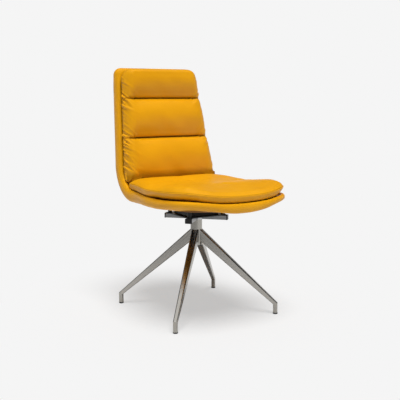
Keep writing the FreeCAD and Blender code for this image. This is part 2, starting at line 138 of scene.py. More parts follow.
def on_back(x, a, n):
    """Points at a distance across, up and proud of the leaning face."""
    across = np.stack([x, np.zeros_like(x), np.zeros_like(x)], -1)
    return across + BEND_END + a[..., None] * ALONG + n[..., None] * PROUD


def half_on_path(s):
    """Half width of the shell by the distance along its inner face."""
    zero = np.zeros_like(s)
    height = on_path(zero, s, zero)[..., 2]
    return np.where(s < SEAT_RUN, seat_half(s - FRONT), back_half(height))


def evenly(points, count):
    """The same open line with evenly spaced points."""
    points = np.asarray(points, float)
    steps = np.hypot(*np.diff(points, axis=0).T)
    places = np.concatenate([[0.0], np.cumsum(steps)])
    wanted = np.linspace(0.0, places[-1], count)
    return np.stack([np.interp(wanted, places, points[:, i]) for i in (0, 1)], -1)


def lengths(points):
    """Distance along a line of points, or along each column of a grid."""
    steps = np.linalg.norm(np.diff(points, axis=0), axis=-1)
    return np.concatenate([np.zeros((1,) + steps.shape[1:]), np.cumsum(steps, axis=0)])


def front_curve(half, front_y):
    """Right half of a rounded front, from its middle to its widest place."""
    power = 2 / CORNER_POWER
    points = []
    for t in np.linspace(QUARTER_TURN, 0.0, FRONT_POINTS):
        x = half * math.cos(t) ** power if t < QUARTER_TURN - 1e-6 else 0.0
        points.append((x, WIDEST - math.sin(t) ** power * (WIDEST - front_y)))
    return points


def far_corner(wide, far, across, along, first, count):
    """Rounded corner between the right side and the far edge of an outline."""
    return [(wide - across * (1 - math.cos(t)), far - along + along * math.sin(t))
            for t in np.linspace(first, QUARTER_TURN, count)]


def whole_outline(right, count):
    """Closed outline from its right half, which runs from the front middle to the far middle."""
    right = evenly(right, count)
    left = right[-2:0:-1] * (-1, 1)
    return np.concatenate([right, left])


def inward(outline):
    """Unit normals towards the inside of an anticlockwise closed outline."""
    run = np.roll(outline, -2, 0) - np.roll(outline, 2, 0)
    normal = np.stack([-run[:, 1], run[:, 0]], -1)
    return normal / np.linalg.norm(normal, axis=1, keepdims=True)


def at_inset(outline, inset):
    """Plan points at a distance inside the outline."""
    return outline + inward(outline) * np.asarray(inset).reshape(-1, 1)


def middle_line(outline, low, high, spread_out):
    """Point of the middle line for each outline point.

    It is level with the outline point between two places, and evenly spread beyond them.
    """
    half = len(outline) // 2
    right = outline[:half + 1]
    run = lengths(right)
    first = int(np.argmax(right[:, 1] >= low))
    last = int(len(right) - 1 - np.argmax(right[::-1, 1] <= high))
    spots = right[:, 1].copy()
    spots[:first] = low - spread_out * (1 - run[:first] / run[first])
    spots[last + 1:] = high + spread_out * (run[last + 1:] - run[last]) / (run[-1] - run[last])
    spots = np.concatenate([spots, spots[-2:0:-1]])
    return np.stack([np.zeros(len(spots)), spots], -1)


def at_share(start, target, share):
    """Plan points part of the way from a start line to the middle line."""
    return start + (target - start) * share


def linked(name, data):
    """New object of some data, linked to the scene."""
    thing = bpy.data.objects.new(name, data)
    bpy.context.scene.collection.objects.link(thing)
    return thing


def skin(name, rings, painted_shades):
    """Closed mesh through rings of points; the first and last are closed straight across."""
    count = len(rings[0])
    points = np.concatenate(rings)
    faces = []
    for ring in range(len(rings) - 1):
        for place in range(count):
            after = (place + 1) % count
            low, high = ring * count, (ring + 1) * count
            faces.append((low + place, low + after, high + after, high + place))
    for start in (0, (len(rings) - 1) * count):
        for place in range(count // 2):
            corners = [place, place + 1, (count - place - 1) % count, (count - place) % count]
            face = []
            for corner in corners:
                if start + corner not in face:
                    face.append(start + corner)
            faces.append(face)
    mesh = bpy.data.meshes.new(name)
    points[:, 1] += AXIS_Y
    mesh.from_pydata(points.tolist(), [], faces)
    # Painted shade per point, from 0 to 1, which the leather draws as darker colour
    layer = mesh.attributes.new("painted_shade", "FLOAT", "POINT")
    layer.data.foreach_set("value", np.concatenate(painted_shades).astype(np.float32))
    work = bmesh.new()
    work.from_mesh(mesh)
    bmesh.ops.recalc_face_normals(work, faces=work.faces)
    work.to_mesh(mesh)
    work.free()
    mesh.polygons.foreach_set("use_smooth", [True] * len(mesh.polygons))
    return linked(name, mesh)


def swelled(grid, amount):
    """Rings moved outwards along their surface normals."""
    along = np.roll(grid, -1, 1) - np.roll(grid, 1, 1)
    across = np.gradient(grid, axis=0)
    normal = np.cross(along, across)
    normal /= np.maximum(np.linalg.norm(normal, axis=2, keepdims=True), 1e-9)
    return grid + normal * amount[..., None]


def pleats(seed, places, reach, tall, slant):
    """Small gathered folds that start at places along an edge and run in from it."""
    widening = 0.07
    draw = random.Random(seed)
    folds = []
    for place in places:
        centre = place + draw.uniform(-0.003, 0.003)
        width = draw.uniform(0.0026, 0.0042)
        size = draw.uniform(0.4, 1.0) * tall
        run = draw.uniform(0.65, 1.25) * reach
        lean = slant * draw.uniform(0.5, 1.4)
        begin = draw.uniform(0.0, 0.010)
        folds.append((centre, width, size, run, lean, begin))

    def height(along, away):
        total = np.zeros(np.broadcast(along, away).shape)
        for centre, width, size, run, lean, begin in folds:
            spot = (along - centre - away * lean) / (width + away * widening)
            ridge = (1 - 1.1 * spot ** 2) * np.exp(-spot ** 2)
            total += size * ridge * smooth(begin, begin + 0.010, away) * np.exp(-(away / run) ** 2)
        return total
    return height


# Shell

def shell_depth(x, s):
    """Thickness of the shell under a point of its inner face."""
    lip_run, lip_radius, lip_depth = 0.12, 0.014, 0.020
    seat_gain, back_gain, bend_gain, belly_gain = 0.011, 0.019, 0.0105, 0.0030
    middle_gain, bend_middle_loss, shoulder = 0.015, 0.006, 0.010
    bend_width, flat_share, rim_width = 0.100, 0.5, 0.013
    top_depth = 0.050
    grown = np.clip(s / lip_run, 0.0, 1.0)
    up = np.clip((s - SEAT_RUN) / BEND_RUN, 0.0, 1.0)
    lip_round = np.sqrt(1 - (1 - np.clip(s / lip_radius, 0.0, 1.0)) ** 2)
    at_bend = hump(s, SEAT_RUN, bend_width)
    thickness = lip_depth + seat_gain * grown
    edge = thickness / 2 * (1 + lip_round) + back_gain * up
    edge = edge + bend_gain * at_bend + belly_gain * hump(s, 0.26, 0.13)
    middle = edge + (middle_gain - 0.004 * grown - 0.006 * up) * (0.3 + 0.7 * lip_round)
    thin_lip = (0.0015 + 0.0075 * smooth(0.02, 0.13, np.abs(x))) * (1 - smooth(0.02, 0.14, s))
    middle = middle - thin_lip
    middle = middle + 0.002 * hump(s, 0.12, 0.08) - bend_middle_loss * at_bend
    half = half_on_path(s)
    flat = half * flat_share
    inner = half - rim_width
    away = np.clip((np.abs(x) - flat) / (inner - flat), 0.0, 1.0)
    front_edge = 0.0045 * hump(s, 0.085, 0.07) * smooth(0.3, 0.9, away)
    depth = middle - (middle - edge) * away + shoulder * away * (1 - away) - front_edge
    return depth + (top_depth - depth) * smooth(FULL_RUN - 0.12, FULL_RUN - 0.035, s)


def make_shell():
    """Padded shell that folds from the seat up into the back."""
    top_corner = 0.029
    rim_radius, rear_rim_gain, top_rim_gain = 0.0098, 0.0050, 0.013
    rim_steps, rim_squareness = 17, 0.95
    groove_depth = 0.006
    front = [(x, y + FRONT) for x, y in front_curve(SEAT_HALF, -FRONT)]
    sides = [(float(half_on_path(np.array([s]))[0]), s)
             for s in np.linspace(WIDEST + FRONT + 0.004, FULL_RUN - top_corner, 160)]
    corner = far_corner(sides[-1][0], FULL_RUN, top_corner, top_corner, 0.1, 14)
    outline = whole_outline(front + sides + corner + [(0.0, FULL_RUN)], SHELL_POINTS)
    s = outline[:, 1]
    narrow = rim_radius + rear_rim_gain * smooth(0.02, 0.20, s)
    radius = narrow + top_rim_gain * smooth(FULL_RUN - 0.07, FULL_RUN - 0.01, s)
    start = at_inset(outline, radius)
    rim = shell_depth(start[:, 0], start[:, 1])
    target = middle_line(outline, 0.15, FULL_RUN - 0.13, 0.05)
    rings, painted_shades = [], []
    for share in np.linspace(INNERMOST, 0.0, 30):
        plan = at_share(start, target, share)
        depth = shell_depth(plan[:, 0], plan[:, 1])
        reach = np.linalg.norm(plan - start, axis=1)
        rings.append(on_path(plan[:, 0], plan[:, 1], -depth))
        # Painted shade: the middle of the underside below the seat is drawn dark brown
        under_seat = smooth(SEAT_RUN - 0.02, SEAT_RUN - 0.04, plan[:, 1])
        painted_shades.append(UNDERSIDE_PAINTED_SHADE * smooth(0.028, 0.040, reach) * under_seat)
    for angle in np.linspace(-QUARTER_TURN, QUARTER_TURN, rim_steps)[1:-1]:
        plan = at_inset(outline, radius * (1 - math.cos(angle) ** rim_squareness))
        rings.append(on_path(plan[:, 0], plan[:, 1], rim * (math.sin(angle) - 1) / 2))
        painted_shades.append(np.zeros(len(outline)))
    # Painted shade in the groove between the shell's rim and the back cushion
    beside_cushion = smooth(SEAT_RUN, SEAT_RUN + BEND_RUN, s)
    for share in np.concatenate([np.linspace(0.0, 0.12, 8), np.linspace(0.2, INNERMOST, 8)]):
        plan = at_share(start, target, share)
        dip = -groove_depth * smooth(0.0, 0.07, share)
        rings.append(on_path(plan[:, 0], plan[:, 1], np.full(len(plan), dip)))
        painted_shades.append(GROOVE_PAINTED_SHADE * smooth(0.0, 0.035, share) * beside_cushion)
    return skin("padded_shell", rings, painted_shades)


# Seat pad

def make_pad():
    """Boxed seat pad with a front roll."""
    inset = 0.005
    front_y = -(FRONT - 0.004)
    rear_y = 0.172
    rear_corner = 0.03
    side_height, side_rear_loss, side_front_loss = 0.0262, 0.0015, 0.0012
    corner_height_gain, corner_tuck = 0.0022, 0.014
    seam_inset, panel_inset, clearance = 0.0024, 0.0026, 0.0003
    crown_height, roll_height, rear_height, rear_fall_height = 0.0098, 0.0085, 0.0070, 0.0060
    belly_height, fold_depth = 0.0035, 0.0048
    pleat_pitch, pleat_reach, pleat_height, pleat_slant = 0.030, 0.022, 0.0011, 0.25
    # Offset towards the outline's inside, as a share of the tuck, by the share of the side's height
    side_profile = ((1.0, 0.05), (0.72, 0.15), (0.44, 0.32), (0.22, 0.52), (0.08, 0.70),
                    (0.01, 0.85), (0.0, 0.93), (0.08, 0.975))
    right = front_curve(SEAT_HALF - inset, front_y)
    for y in np.linspace(WIDEST + 0.004, rear_y - rear_corner, 60):
        narrow = 0.006 * float(smooth(0.06, rear_y, np.array(y)))
        right.append((float(seat_half(np.array(y))) - inset - narrow, y))
    right += far_corner(right[-1][0], rear_y, 0.022, rear_corner, 0.15, 10)
    outline = whole_outline(right + [(0.0, rear_y)], PAD_POINTS)
    x, y = outline.T
    side = side_height - side_rear_loss * smooth(0.03, 0.14, y)
    side = side - side_front_loss * smooth(-0.24, -0.31, y)
    pinched = smooth(0.13, 0.21, np.abs(x)) * smooth(-0.03, -0.13, y)
    side = side + corner_height_gain * pinched
    tucked = 0.010 - 0.003 * smooth(-0.05, 0.05, y) + corner_tuck * pinched
    target = middle_line(outline, front_y + 0.17, rear_y - 0.13, 0.07)
    round_outline = lengths(outline)
    pleat_places = np.arange(0.03, round_outline[-1], pleat_pitch)
    edge_folds = pleats(11, pleat_places, pleat_reach, pleat_height, pleat_slant)
    rings, painted_shades = [], []

    def lift(plan, start):
        """Height of the top panel over its seam."""
        px, py = plan.T
        reach = np.linalg.norm(plan - start, axis=1)
        dome_run = 0.060 - 0.018 * smooth(-0.10, -0.20, py)
        dome = 1 - (1 - np.clip(reach / dome_run, 0.0, 1.0)) ** 3.2
        crown = crown_height + roll_height * hump(py, -0.190, 0.085)
        crown = crown + rear_height * smooth(0.0, 0.09, py)
        belly = belly_height * (1 - (px / 0.23) ** 2) * smooth(0.0, 0.10, reach)
        across = 0.225 - px
        fold_place = hump(py + 0.42 * across, -0.020, 0.016 + 0.06 * across)
        fold = fold_depth * fold_place * smooth(0.30, 0.02, across)
        rear_fall = rear_fall_height * smooth(0.13, 0.17, py)
        inboard, behind = 0.200 - np.abs(px), py + 0.265
        along = 0.64 * inboard + 0.77 * behind
        beside = 0.77 * inboard - 0.64 * behind
        ridge, valley = 0.0030 * hump(beside, 0.004, 0.016), 0.0022 * hump(beside, -0.022, 0.013)
        corner_fold = (ridge - valley) * hump(along, 0.0, 0.065)
        return (crown - rear_fall - fold + corner_fold) * dome + belly

    def add(plan, height, dark):
        """Add a ring at a height, raised or lowered with the shell's sweep."""
        px, py = plan.T
        rings.append(np.stack([px, py, height + sweep(px, py)], -1))
        painted_shades.append(np.full(len(plan), dark))

    base = at_inset(outline, 0.014 + corner_tuck * pinched)
    # Painted shade on the pad's hidden underside, which rests on the shell
    for share in UNDERSIDE_SHARES:
        add(at_share(base, target, share), SEAT_Z + clearance, HIDDEN_PAINTED_SHADE)
    for offset, up in side_profile:
        # Painted shade at the foot of the pad's side, fading out about a quarter of the way up
        foot_painted_shade = max(0.0, 0.75 - 3.2 * up)
        add(at_inset(outline, tucked * offset), SEAT_Z + clearance + side * up, foot_painted_shade)
    seam_ring = len(rings)
    # Painted shade along the seam at the top of the side
    add(at_inset(outline, seam_inset), SEAT_Z + side * 0.985, PAD_SEAM_PAINTED_SHADE)
    start = at_inset(outline, panel_inset)
    near_seam = [0.006, 0.014, 0.026, 0.042, 0.062]
    for share in np.concatenate([near_seam, np.linspace(0.09, INNERMOST, 38)]):
        plan = at_share(start, target, share)
        add(plan, SEAT_Z + side * 0.995 + 0.0008 + lift(plan, start), 0.0)
    grid = np.stack(rings)
    away = lengths(grid)
    away = np.abs(away - away[seam_ring]) + 0.004
    folded = edge_folds(round_outline[None, :], away)
    folded[:len(UNDERSIDE_SHARES)] = 0.0
    return skin("seat_pad", swelled(grid, folded), painted_shades)


# Back cushion

def make_back_cushion():
    """Three sewn bolsters with gathered sides."""
    seam_drop = 0.004
    lower_seam, upper_seam = [(z - seam_drop - BEND_END[2]) / ALONG[2]
                              for z in (LOWER_SEAM_Z, UPPER_SEAM_Z)]
    seams_middle = 0.18
    top = BACK_RUN - 0.012
    bottom = -0.064
    top_corner = 0.047
    bottom_corner = 0.014
    tuck = 0.012
    inset = 0.0100
    clearance = 0.0004
    full, crown_height, channel_depth, slack_height = 0.0660, 0.006, 0.039, 0.0012
    draw_in = 0.0035
    pleat_pitch, tight_closer, lowest_closer = 0.0145, 0.0045, 0.0015
    pleat_reach, pleat_slant = 0.054, 0.80
    valley_gain = 300
    bounds = [bottom - 0.010, lower_seam, upper_seam, top + 0.012]

    def half_at(a):
        """Half width of the cushion by the distance up the back."""
        height = BEND_END[2] + ALONG[2] * a
        return back_half(height) - inset

    right = [(0.0, bottom)]
    right += [(float(half_at(bottom)) - bottom_corner * (1 - math.sin(t)),
               bottom + bottom_corner * (1 - math.cos(t)))
              for t in np.linspace(0.0, QUARTER_TURN, 8)]
    right += [(float(half_at(a)), a) for a in np.linspace(bottom + 0.016, top - top_corner, 120)]
    right += far_corner(right[-1][0], top, top_corner, top_corner, 0.1, 14)
    outline = whole_outline(right + [(0.0, top)], BACK_POINTS)
    x, a = outline.T
    side_share = smooth(0.0, 0.03, a - bottom) * smooth(0.0, 0.04, top - a)
    edge = 0.024 + 0.018 * side_share
    target = middle_line(outline, bottom + 0.10, top - 0.09, 0.06)
    place = lengths(outline)

    def bolster_share(at):
        """Place within each bolster, from -1 at its lower seam to 1 at its upper seam."""
        total = np.zeros_like(at)
        for low_end, high_end in zip(bounds[:-1], bounds[1:]):
            inside = (at >= low_end) & (at <= high_end)
            share = np.clip((at - low_end) / (high_end - low_end), 0.0, 1.0)
            total = np.where(inside, 2 * share - 1, total)
        return total

    def channel(at):
        """Depth of the sewn channels, 1 at a seam."""
        share = np.abs(bolster_share(at))
        below = smooth(-0.3, 0.8, -bolster_share(at)) * smooth(1.0, 0.7, -bolster_share(at))
        return 0.66 * share ** 2.0 + 0.12 * share ** 7 + 0.22 * share ** 26 + 0.08 * below

    def face(plan):
        """Height of the face over the shell."""
        px, pa = plan.T
        across = np.abs(px) / half_at(pa)
        depth = channel_depth * (1 - 0.66 * smooth(0.66, 0.97, across))
        inside_ends = smooth(top + 0.012, top - 0.04, pa)
        inside_ends = inside_ends * smooth(bottom - 0.014, bottom + 0.03, pa)
        crown = crown_height * (1 - across ** 2)
        waves = np.sin(px * 31 + pa * 47 + 2 * np.sin(px * 19))
        slack = slack_height * waves * hump(bolster_share(pa), -0.4, 0.6)
        sunk = depth * channel(pa) * inside_ends
        return full - crown_height + crown - sunk + slack * smooth(1.0, 0.7, across)

    def base(pa):
        """Height of the shell's inner face over the leaning line."""
        below = np.clip(-pa, 0.0, BEND_RADIUS * 0.9)
        return BEND_RADIUS - np.sqrt(BEND_RADIUS ** 2 - below ** 2) + clearance

    def seam_painted_shade(at):
        """Painted shade in the two seams between the bolsters."""
        between = np.abs(at - seams_middle) < 0.10
        return smooth(0.93, 0.99, np.abs(bolster_share(at))) * between * BOLSTER_SEAM_PAINTED_SHADE

    def resting_painted_shade(at):
        """Painted shade at the foot, where the cushion rests in the bend."""
        return BOLSTER_FOOT_PAINTED_SHADE * smooth(bottom + 0.045, bottom + 0.018, at)

    rings, painted_shades = [], []

    def add(plan, height, dark):
        """Add a ring, whose foot is kept over the bend and not along the lean."""
        pa = plan[:, 1]
        settled = pa - height * math.tan(LEAN) * smooth(bottom + 0.10, bottom, pa)
        rings.append(on_back(plan[:, 0], settled, height))
        painted_shades.append(dark)

    inner = at_inset(outline, tuck)
    # Painted shade on the cushion's hidden underside, which rests on the shell
    for share in UNDERSIDE_SHARES:
        plan = at_share(inner, target, share)
        add(plan, base(plan[:, 1]), np.full(len(plan), HIDDEN_PAINTED_SHADE))
    first_wall = len(rings)
    drawn = draw_in * channel(a) * side_share
    for angle in np.linspace(0.0, QUARTER_TURN, 30)[1:]:
        rise = math.sin(angle) ** 0.90
        offset = edge * (1 - math.cos(angle) ** 0.95) + tuck * max(0.0, 1 - rise / 0.35) ** 2
        plan = at_inset(outline, offset + drawn * rise)
        ground = base(plan[:, 1])
        height = ground + (face(plan) - ground) * rise
        # Painted shade in the seams, on the upper part of the wall
        dark = seam_painted_shade(a) * smooth(0.60, 0.90, np.array(rise))
        # Painted shade low on the cushion's wall, beside the shell's rim
        wall_painted_shade = max(0.0, 0.85 - 2.0 * rise)
        add(plan, height, np.maximum(np.maximum(dark, resting_painted_shade(a) * (rise > 0.5)), wall_painted_shade))
    start = at_inset(outline, edge + drawn)
    for share in np.linspace(0.0, INNERMOST, 56)[1:]:
        plan = at_share(start, target, share)
        # Painted shade on the face in the seams and at the foot
        add(plan, face(plan), np.maximum(seam_painted_shade(plan[:, 1]), resting_painted_shade(plan[:, 1])))

    grid = np.stack(rings)
    away = lengths(grid)
    away = away - away[first_wall]
    folded = np.zeros(away.shape)
    tightness = np.abs(bolster_share(a))
    near_seam = 0.34 + 0.66 * smooth(0.35, 0.95, tightness)
    near_seam = np.maximum(near_seam, 0.75 * smooth(lower_seam + 0.01, lower_seam - 0.03, a))
    ends = smooth(0.018, 0.050, a - bottom) * smooth(-0.002, 0.012, top - a)
    # The far side (x over 0) has lower pleats than the near side, and they end before the seams
    far_side = (1, 5, 0.0036, 0.70, 1.0)
    near_side = (-1, 8, 0.0056, 0.90, 0.75)
    for sign, seed, tall, fade_from, fade in (far_side, near_side):
        own = x * sign > 0.02
        run = np.argsort(a[own])
        heights, places = a[own][run], place[own][run]
        spots = []
        draw = random.Random(seed)
        at = bottom + 0.012
        while at < top - 0.012:
            spots.append(float(np.interp(at, heights, places)))
            tight = abs(float(bolster_share(np.array(at))))
            closer = lowest_closer if at < lower_seam else 0.0
            at += (pleat_pitch - tight_closer * tight - closer) * draw.uniform(0.7, 1.35)
        folds = pleats(seed, spots, pleat_reach, tall, -pleat_slant * sign)
        at_seam = smooth(fade_from, 0.985, tightness) * (np.abs(a - seams_middle) < 0.12)
        strength = near_seam * ends * (1 - fade * at_seam)
        strength = strength * (1 + 0.5 * smooth(top - 0.09, top - 0.03, a))
        folded += folds(place[None, :], away) * (strength * (x * sign > 0))[None, :]
    folded[:first_wall + 1] = 0.0
    # Painted shade in the pleats' valleys, darker where they sink deeper
    valley_shades = np.clip(-folded * valley_gain, 0.0, VALLEY_PAINTED_SHADE)
    painted_shades = [np.clip(dark + valley, 0.0, 1.0) for dark, valley in zip(painted_shades, valley_shades)]
    return skin("back_bolsters", swelled(grid, folded), painted_shades)


# Materials

LEATHER_DEEP = (0.675, 0.298, 0.0010)
LEATHER_PALE = (0.75, 0.342, 0.0020)
LEATHER_PAINTED_SHADE = (0.075, 0.016, 0.001)
LEATHER_SHEEN = (1.0, 0.86, 0.60)
STEEL_UPRIGHT = (0.41, 0.395, 0.36)
STEEL = (0.43, 0.415, 0.385)
ZINC_ARM = (0.30, 0.30, 0.30)
ZINC_PLATE = (0.42, 0.42, 0.42)
PLATED_STEEL = (0.50, 0.50, 0.49)
BLACK_PLASTIC = (0.012, 0.012, 0.013)
BLACK_PAINT = (0.010, 0.010, 0.011)
BEARING_PLASTIC = (0.62, 0.60, 0.55)
WOOD_DARK = (0.42, 0.25, 0.12)
WOOD_PALE = (0.70, 0.50, 0.30)

# Direction of each leg and arm about the axis in degrees, and the slope of the legs
LEG_TURNS = {"rear_left": 45, "rear_right": 135, "front_right": 225, "front_left": 315}
LEG_RISE = 0.305 - 0.042
LEG_REACH = 0.3 - 0.022
LEG_SLOPE = math.atan2(LEG_RISE, LEG_REACH)


def new_material(name):
    """Node material with its principled shader."""
    material = bpy.data.materials.new(name)
    material.use_nodes = True
    tree = material.node_tree
    return material, tree, tree.nodes["Principled BSDF"]


def noise(tree, coordinate, scale, detail):
    """Noise on a coordinate."""
    node = tree.nodes.new("ShaderNodeTexNoise")
    node.inputs["Scale"].default_value = scale
    node.inputs["Detail"].default_value = detail
    tree.links.new(coordinate, node.inputs["Vector"])
    return node.outputs["Fac"]


def stretched(tree, coordinate, scale):
    """Coordinate scaled by its three directions."""
    node = tree.nodes.new("ShaderNodeMapping")
    node.inputs["Scale"].default_value = scale
    tree.links.new(coordinate, node.inputs["Vector"])
    return node.outputs["Vector"]


def spread(tree, value, low, high, to_low, to_high):
    """Map a range of values to another."""
    node = tree.nodes.new("ShaderNodeMapRange")
    tree.links.new(value, node.inputs["Value"])
    for label, number in (("From Min", low), ("From Max", high),
                          ("To Min", to_low), ("To Max", to_high)):
        node.inputs[label].default_value = number
    return node.outputs["Result"]


def combined(tree, operation, first, second):
    """Sum, product or larger one of two sockets."""
    node = tree.nodes.new("ShaderNodeMath")
    node.operation = operation
    tree.links.new(first, node.inputs[0])
    tree.links.new(second, node.inputs[1])
    return node.outputs["Value"]


def blend_colour(tree, factor, first, second):
    """Mix of two colours, each a tuple or a socket."""
    node = tree.nodes.new("ShaderNodeMix")
    node.data_type = "RGBA"
    tree.links.new(factor, node.inputs["Factor"])
    sockets = [i for i in node.inputs if i.type == "RGBA"]
    for socket, colour in zip(sockets, (first, second)):
        if isinstance(colour, tuple):
            socket.default_value = (*colour, 1.0)
        else:
            tree.links.new(colour, socket)
    return [o for o in node.outputs if o.type == "RGBA"][0]


def bump(tree, shader, height, strength, distance):
    """Bump the shader's normal by a height."""
    node = tree.nodes.new("ShaderNodeBump")
    node.inputs["Strength"].default_value = strength
    node.inputs["Distance"].default_value = distance
    tree.links.new(height, node.inputs["Height"])
    tree.links.new(node.outputs["Normal"], shader.inputs["Normal"])


def object_place(tree):
    """Object coordinates."""
    return tree.nodes.new("ShaderNodeTexCoord").outputs["Object"]


def leather():
    """Mustard leather with grain, soft colour drift, and painted shade drawn dark in its creases,
    seams, grooves and undersides.
    """
    material, tree, shader = new_material("mustard_leather")
    place = object_place(tree)
    drift = spread(tree, noise(tree, place, 7.0, 4.0), 0.3, 0.7, 0.0, 1.0)
    tone = blend_colour(tree, drift, LEATHER_DEEP, LEATHER_PALE)
    painted = tree.nodes.new("ShaderNodeAttribute")
    painted.attribute_name = "painted_shade"
    painted_shade = painted.outputs["Fac"]
    # Painted shade: the colour goes dark brown where the painted attribute marks creases, seams,
    # grooves and undersides
    colour = blend_colour(tree, painted_shade, tone, LEATHER_PAINTED_SHADE)
    tree.links.new(colour, shader.inputs["Base Color"])
    cells = tree.nodes.new("ShaderNodeTexVoronoi")
    cells.inputs["Scale"].default_value = 620.0
    tree.links.new(place, cells.inputs["Vector"])
    pores = noise(tree, place, 240.0, 3.0)
    grain = combined(tree, "ADD", cells.outputs["Distance"], pores)
    bump(tree, shader, grain, 0.22, 0.0004)
    sheen = spread(tree, noise(tree, place, 30.0, 2.0), 0.3, 0.7, 0.42, 0.50)
    dull = spread(tree, painted_shade, 0.0, 0.5, 0.0, 0.95)
    tree.links.new(combined(tree, "MAXIMUM", sheen, dull), shader.inputs["Roughness"])
    shader.inputs["Specular IOR Level"].default_value = 0.46
    shader.inputs["Specular Tint"].default_value = (*LEATHER_SHEEN, 1.0)
    shader.inputs["Coat Weight"].default_value = 0.03
    shader.inputs["Coat Roughness"].default_value = 0.3
    return material


def brushed(name, colour, rough, turn, tilt):
    """Metal with fine brush lines along a direction."""
    material, tree, shader = new_material(name)
    turned = tree.nodes.new("ShaderNodeMapping")
    turned.vector_type = "TEXTURE"
    turned.inputs["Rotation"].default_value = (0.0, tilt, turn)
    tree.links.new(object_place(tree), turned.inputs["Vector"])
    thin = stretched(tree, turned.outputs["Vector"], (8.0, 900.0, 900.0))
    lines = noise(tree, thin, 1.0, 3.0)
    dark = tuple(part * 0.86 for part in colour)
    tone = blend_colour(tree, spread(tree, lines, 0.3, 0.7, 0.0, 1.0), dark, colour)
    tree.links.new(tone, shader.inputs["Base Color"])
    polish = spread(tree, lines, 0.3, 0.7, rough - 0.05, rough + 0.08)
    tree.links.new(polish, shader.inputs["Roughness"])
    shader.inputs["Metallic"].default_value = 1.0
    bump(tree, shader, lines, 0.10, 0.00008)
    return material


def plain(name, colour, rough, scale, strength, metallic=0.0):
    """Moulded or coated surface with a fine texture."""
    material, tree, shader = new_material(name)
    place = object_place(tree)
    grain = noise(tree, place, scale, 3.0)
    mark = noise(tree, place, scale / 12, 2.0)
    light = tuple(min(1.0, part * 1.3 + 0.004) for part in colour)
    tone = blend_colour(tree, spread(tree, mark, 0.35, 0.65, 0.0, 1.0), colour, light)
    tree.links.new(tone, shader.inputs["Base Color"])
    polish = spread(tree, mark, 0.3, 0.7, rough - 0.05, rough + 0.05)
    tree.links.new(polish, shader.inputs["Roughness"])
    shader.inputs["Metallic"].default_value = metallic
    shader.inputs["Specular IOR Level"].default_value = 0.3
    bump(tree, shader, grain, strength, 0.0001)
    return material


def wood():
    """Plywood for the hidden core."""
    material, tree, shader = new_material("plywood")
    grain = noise(tree, stretched(tree, object_place(tree), (90.0, 6.0, 6.0)), 1.0, 5.0)
    tree.links.new(blend_colour(tree, grain, WOOD_DARK, WOOD_PALE), shader.inputs["Base Color"])
    shader.inputs["Roughness"].default_value = 0.6
    bump(tree, shader, grain, 0.2, 0.0003)
    return material


def dress(piece, material):
    """Give a piece one material."""
    piece.data.materials.clear()
    piece.data.materials.append(material)


hide = leather()
steel_upright = brushed("steel_upright", STEEL_UPRIGHT, 0.26, 0.0, QUARTER_TURN)
steel_legs = {
    place: brushed("steel_leg_" + place, STEEL, 0.22, math.radians(turn), LEG_SLOPE)
    for place, turn in LEG_TURNS.items()
}
zinc_arms = {
    place: brushed("zinc_arm_" + place, ZINC_ARM, 0.33, math.radians(turn), 0.0)
    for place, turn in LEG_TURNS.items()
}
zinc = plain("zinc_plate", ZINC_PLATE, 0.34, 500.0, 0.1, 1.0)
plated = plain("plated_steel", PLATED_STEEL, 0.28, 700.0, 0.08, 1.0)
black_plastic = plain("black_plastic", BLACK_PLASTIC, 0.45, 900.0, 0.15)
black_paint = plain("black_paint", BLACK_PAINT, 0.40, 700.0, 0.2)
bearing = plain("bearing_plastic", BEARING_PLASTIC, 0.42, 800.0, 0.1)
plywood = wood()

for name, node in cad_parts.items():
    place = next((key for key in LEG_TURNS if name.endswith(key)), None)
    if name.startswith("leg_stub") or name == "column_tube":
        dress(node, steel_upright)
    elif name.startswith("leg_"):
        dress(node, steel_legs[place])
    elif name.startswith("support_arm"):
        dress(node, zinc_arms[place])
    elif name.startswith(("foot_glide", "arm_end_cap", "column_plug", "plate_spacers")):
        dress(node, black_plastic)
    elif name == "seat_plate":
        dress(node, black_paint)
    elif name == "swivel_hub":
        dress(node, zinc)
    elif name in ("upper_bush", "lower_bush"):
        dress(node, bearing)
    elif name == "shell_core":
        dress(node, plywood)
    elif name in ("shell_upholstery", "seat_cushion", "back_cushion"):
        dress(node, hide)
    else:
        dress(node, plated)

for piece, node in ((make_shell(), "shell_upholstery"), (make_pad(), "seat_cushion"),
                    (make_back_cushion(), "back_cushion")):
    dress(piece, hide)
    soften = piece.modifiers.new("smooth", "SUBSURF")
    soften.levels = 1
    soften.render_levels = 1
    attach(piece, "seat")
    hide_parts(node)

# Studio

FLOOR_SIZE = 40.0
FLOOR_COLOUR = (0.70, 0.70, 0.70)
BACKGROUND = (0.913, 0.913, 0.913)
DIM_CEILING = (0.05, 0.05, 0.05)
OVERHEAD_PATCH = (1.30, 1.30, 1.30)
WORLD_STRENGTH = 0.27
CAMERA_RAYS = ("Is Camera Ray",)
MIRROR_RAYS = ("Is Glossy Ray", "Is Transmission Ray")

# Camera fitted to the photograph
PHOTO_WIDTH = 400
FOCAL_PIXELS = 719.7
SENSOR_WIDTH = 36.0
CAMERA_PLACE = (-1.3726, -2.2575 + AXIS_Y, 0.80)
CAMERA_HEADING = math.radians(31.6)
CAMERA_PITCH = math.radians(8.31)


def seen_by(tree, rays):
    """1 for the named kinds of ray and 0 for every other kind."""
    path = tree.nodes.new("ShaderNodeLightPath")
    seen = path.outputs[rays[0]]
    for ray in rays[1:]:
        seen = combined(tree, "MAXIMUM", seen, path.outputs[ray])
    return seen


def mixed(tree, factor, first, second):
    """Mix of two shaders."""
    node = tree.nodes.new("ShaderNodeMixShader")
    for socket, value in zip(node.inputs, (factor, first, second)):
        tree.links.new(value, socket)
    return node.outputs["Shader"]


def aimed(name, data, aim):
    """New lamp or camera that looks along a direction."""
    holder = linked(name, data)
    holder.rotation_euler = Vector(aim).to_track_quat("-Z", "Y").to_euler()
    return holder


